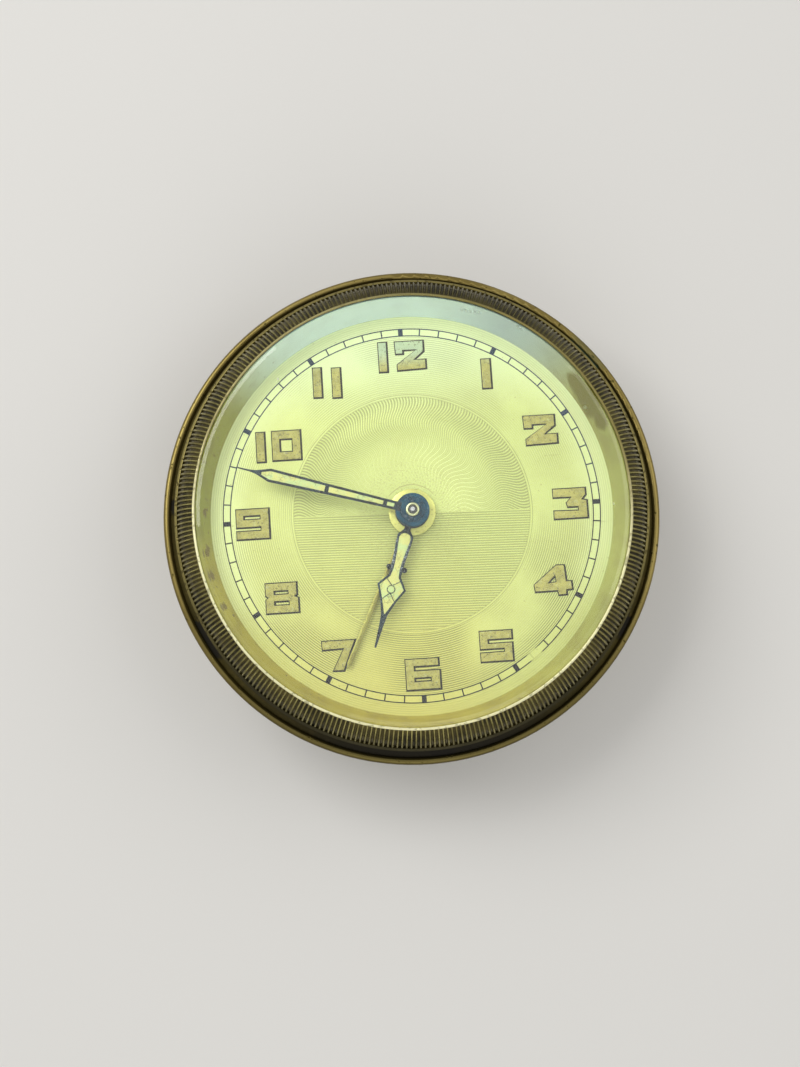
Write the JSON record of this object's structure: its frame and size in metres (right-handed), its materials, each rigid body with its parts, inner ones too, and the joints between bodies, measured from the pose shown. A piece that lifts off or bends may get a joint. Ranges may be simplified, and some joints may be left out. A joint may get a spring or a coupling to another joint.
{
  "type": "travel alarm clock",
  "caption": "Round travel alarm clock head: brass drum with rolled lip, fluted bezel, flat glass, block-numeral dial, skeleton hands and wind-up movement with rear keys.",
  "frame": {"origin": "centre of the rear rim, on the surface that the clock lies on", "axes": "+Z out of the dial along the centre arbor; 12 o'clock at +Y; 3 o'clock at +X"},
  "size_m": [0.07, 0.07, 0.0261],
  "materials": {
    "case_brass": "aged brass with dark patches",
    "bezel_brass": "antique brass, darker in the flutes",
    "cone_brass": "satin yellow brass with brown stains",
    "dial_gilt": "pale gilt, finely engraved",
    "glass": "clear flat glass",
    "plate_brass": "brushed movement brass",
    "alarm_brass": "plain brass",
    "steel": "bright steel",
    "blue_steel": "heat-blued steel",
    "filling": "cream luminous paint"
  },
  "bodies": {
    "case": {"case_shell": "case_brass", "back_cover": "case_brass", "back_cover_screws": "steel", "bezel": "bezel_brass", "glass": "glass", "cone_ring": "cone_brass", "dial": "dial_gilt", "front_plate": "plate_brass", "back_plate": "plate_brass", "pillars": "plate_brass", "pillar_nuts": "plate_brass", "click_springs": "steel", "shoulder_screws": "steel", "alarm_release_spring": "steel", "balance_screws": "plate_brass", "hairspring": "blue_steel"},
    "minute_hand": {"minute_hand": "blue_steel", "minute_hand_filling": "filling", "minute_hand_collet": "plate_brass", "cannon_pinion": "steel"},
    "hour_hand": {"hour_hand": "blue_steel", "hour_hand_filling": "filling", "hour_wheel": "plate_brass"},
    "minute_wheel": {"minute_wheel": "plate_brass"},
    "hand_setter": {"hand_set_arbor": "steel", "hand_set_knob": "case_brass"},
    "alarm_hand": {"alarm_hand": "alarm_brass", "alarm_wheel": "plate_brass"},
    "alarm_setter": {"alarm_set_arbor": "steel", "alarm_set_knob": "case_brass"},
    "fourth_wheel": {"fourth_wheel": "plate_brass", "fourth_pinion": "steel"},
    "escape_wheel": {"escape_wheel": "plate_brass", "escape_pinion": "steel"},
    "third_wheel": {"third_wheel": "plate_brass", "third_pinion": "steel"},
    "centre_wheel": {"centre_wheel": "plate_brass", "centre_arbor": "steel"},
    "time_barrel": {"time_barrel": "plate_brass", "time_barrel_lid": "plate_brass", "time_mainspring": "blue_steel"},
    "time_winder": {"time_barrel_arbor": "steel", "time_ratchet_wheel": "steel", "time_winding_key": "case_brass"},
    "time_click": {"time_click": "steel"},
    "pallet_lever": {"pallet_lever": "steel"},
    "balance": {"balance_wheel": "plate_brass", "balance_staff": "steel"},
    "regulator": {"regulator": "steel"},
    "alarm_barrel": {"alarm_barrel": "plate_brass", "alarm_barrel_lid": "plate_brass", "alarm_mainspring": "blue_steel"},
    "alarm_verge": {"alarm_verge_wheel": "plate_brass"},
    "alarm_winder": {"alarm_barrel_arbor": "steel", "alarm_ratchet_wheel": "steel", "alarm_winding_key": "case_brass"},
    "alarm_click": {"alarm_click": "steel"},
    "alarm_hammer": {"alarm_hammer": "steel"},
    "alarm_stop": {"alarm_stop_lever": "steel"}
  },
  "joints": [
    {"name": "minute_hand_turn", "type": "hinge", "parent": "case", "child": "minute_hand", "pos_m": [0, 0, 0.02], "axis": [0, 0, -1], "continuous": true},
    {"name": "hour_hand_turn", "type": "hinge", "parent": "case", "child": "hour_hand", "pos_m": [0, 0, 0.02], "axis": [0, 0, -1], "continuous": true},
    {"name": "minute_wheel_turn", "type": "hinge", "parent": "case", "child": "minute_wheel", "pos_m": [0, -0.0072, 0.017], "axis": [0, 0, -1], "continuous": true},
    {"name": "hand_set_turn", "type": "hinge", "parent": "case", "child": "hand_setter", "pos_m": [0, -0.0144, 0.01], "axis": [0, 0, -1], "continuous": true},
    {"name": "alarm_hand_turn", "type": "hinge", "parent": "case", "child": "alarm_hand", "pos_m": [0, 0, 0.02], "axis": [0, 0, -1], "continuous": true},
    {"name": "alarm_set_turn", "type": "hinge", "parent": "case", "child": "alarm_setter", "pos_m": [0.01169, 0.0027, 0.01], "axis": [0, 0, -1], "continuous": true},
    {"name": "fourth_wheel_turn", "type": "hinge", "parent": "case", "child": "fourth_wheel", "pos_m": [-0.00103, 0.01287, 0.0116], "axis": [0, 0, -1], "continuous": true},
    {"name": "escape_wheel_turn", "type": "hinge", "parent": "case", "child": "escape_wheel", "pos_m": [0.00588, 0.01226, 0.0116], "axis": [0, 0, -1], "continuous": true},
    {"name": "third_wheel_turn", "type": "hinge", "parent": "case", "child": "third_wheel", "pos_m": [-0.00882, 0.0074, 0.0116], "axis": [0, 0, -1], "continuous": true},
    {"name": "centre_wheel_turn", "type": "hinge", "parent": "case", "child": "centre_wheel", "pos_m": [0, 0, 0.0116], "axis": [0, 0, -1], "continuous": true},
    {"name": "time_barrel_turn", "type": "hinge", "parent": "case", "child": "time_barrel", "pos_m": [-0.01089, -0.00763, 0.0116], "axis": [0, 0, -1], "continuous": true},
    {"name": "time_key_turn", "type": "hinge", "parent": "case", "child": "time_winder", "pos_m": [-0.01089, -0.00763, 0.005], "axis": [0, 0, -1], "continuous": true},
    {"name": "time_click_lift", "type": "hinge", "parent": "case", "child": "time_click", "pos_m": [-0.01729, -0.00763, 0.0064], "axis": [0, 0, -1], "range_deg": [0, 12]},
    {"name": "pallet_lever_swing", "type": "hinge", "parent": "case", "child": "pallet_lever", "pos_m": [0.01114, 0.01418, 0.0116], "axis": [0, 0, -1], "range_deg": [-4, 4]},
    {"name": "balance_swing", "type": "hinge", "parent": "case", "child": "balance", "pos_m": [0.01681, 0.00942, 0.0116], "axis": [0, 0, -1], "range_deg": [-210, 210]},
    {"name": "regulator_turn", "type": "hinge", "parent": "case", "child": "regulator", "pos_m": [0.01681, 0.00942, 0.0066], "axis": [0, 0, -1], "range_deg": [-25, 25]},
    {"name": "alarm_barrel_turn", "type": "hinge", "parent": "case", "child": "alarm_barrel", "pos_m": [0.01089, -0.00763, 0.0116], "axis": [0, 0, -1], "continuous": true},
    {"name": "alarm_verge_turn", "type": "hinge", "parent": "case", "child": "alarm_verge", "pos_m": [0.02149, -0.0067, 0.0116], "axis": [0, 0, -1], "continuous": true},
    {"name": "alarm_key_turn", "type": "hinge", "parent": "case", "child": "alarm_winder", "pos_m": [0.01089, -0.00763, 0.005], "axis": [0, 0, -1], "continuous": true},
    {"name": "alarm_click_lift", "type": "hinge", "parent": "case", "child": "alarm_click", "pos_m": [0.00871, -0.01364, 0.0064], "axis": [0, 0, -1], "range_deg": [0, 12]},
    {"name": "alarm_hammer_swing", "type": "hinge", "parent": "case", "child": "alarm_hammer", "pos_m": [0.02063, -0.00178, 0.0116], "axis": [0, 0, 1], "range_deg": [-3, 6]},
    {"name": "alarm_stop_turn", "type": "hinge", "parent": "case", "child": "alarm_stop", "pos_m": [0.01896, -0.01455, 0.0066], "axis": [0, 0, -1], "range_deg": [0, 11]}
  ],
  "couplings": [
    {"joint": "hour_hand_turn", "follows": "minute_hand_turn", "ratio": 0.083333},
    {"joint": "minute_wheel_turn", "follows": "minute_hand_turn", "ratio": -0.33333},
    {"joint": "hand_set_turn", "follows": "minute_hand_turn", "ratio": 1},
    {"joint": "alarm_set_turn", "follows": "alarm_hand_turn", "ratio": -3},
    {"joint": "escape_wheel_turn", "follows": "fourth_wheel_turn", "ratio": -8},
    {"joint": "third_wheel_turn", "follows": "fourth_wheel_turn", "ratio": -0.13333},
    {"joint": "centre_wheel_turn", "follows": "fourth_wheel_turn", "ratio": 0.016667},
    {"joint": "time_barrel_turn", "follows": "fourth_wheel_turn", "ratio": -0.0027778},
    {"joint": "alarm_verge_turn", "follows": "alarm_barrel_turn", "ratio": -6}
  ]
}
